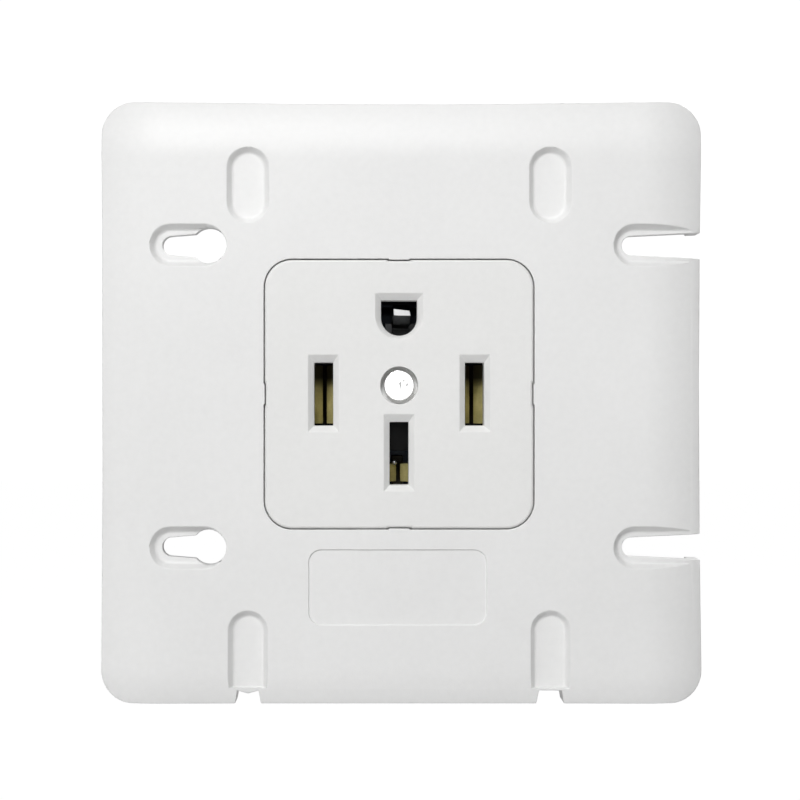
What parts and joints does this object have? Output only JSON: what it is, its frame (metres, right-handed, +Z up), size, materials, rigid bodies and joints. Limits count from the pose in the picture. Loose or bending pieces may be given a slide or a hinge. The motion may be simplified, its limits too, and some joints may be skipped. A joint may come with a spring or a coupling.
{
  "type": "range receptacle",
  "caption": "Flush range receptacle in its own square moulded wall plate, with bladed slots and a ground opening in a set-in face and a wired contact block behind.",
  "frame": {"origin": "on the plane of the finished wall, in line with the middle of the receptacle face and at mid height of the wall plate", "axes": "+Z up, -Y out of the wall towards the room, +Y into the wall box, +X to the right of someone who faces the outlet"},
  "size_m": [0.1143, 0.0369, 0.1143],
  "materials": {
    "plate_plastic": "satin white moulded thermoplastic",
    "face_plastic": "satin white moulded thermoplastic",
    "rivet_metal": "bright nickel plated, lightly scuffed",
    "washer_zinc": "zinc plated",
    "housing_phenolic": "black moulded, faintly glossy",
    "base_phenolic": "black moulded, faintly glossy",
    "contact_brass": "plain rolled brass, a little tarnished",
    "ground_contact_metal": "nickel plated strip",
    "spring_steel": "bright spring steel",
    "lug_aluminium": "tin plated, satin",
    "lug_screw_metal": "turned, satin",
    "base_screw_zinc": "zinc plated"
  },
  "bodies": {
    "root": {"wall_plate": "plate_plastic", "receptacle_face": "face_plastic", "centre_rivet": "rivet_metal", "rivet_washer": "washer_zinc", "contact_housing": "housing_phenolic", "terminal_base": "base_phenolic", "line_x_contact": "contact_brass", "line_x_spring": "spring_steel", "line_x_lug": "lug_aluminium", "line_x_lug_screw": "lug_screw_metal", "line_y_contact": "contact_brass", "line_y_spring": "spring_steel", "line_y_lug": "lug_aluminium", "line_y_lug_screw": "lug_screw_metal", "neutral_contact": "contact_brass", "neutral_spring": "spring_steel", "neutral_lug": "lug_aluminium", "neutral_lug_screw": "lug_screw_metal", "ground_contact": "ground_contact_metal", "ground_spring": "spring_steel", "ground_lug": "lug_aluminium", "ground_lug_screw": "lug_screw_metal", "base_screw_1": "base_screw_zinc", "base_screw_2": "base_screw_zinc", "base_screw_3": "base_screw_zinc", "base_screw_4": "base_screw_zinc"}
  },
  "joints": []
}
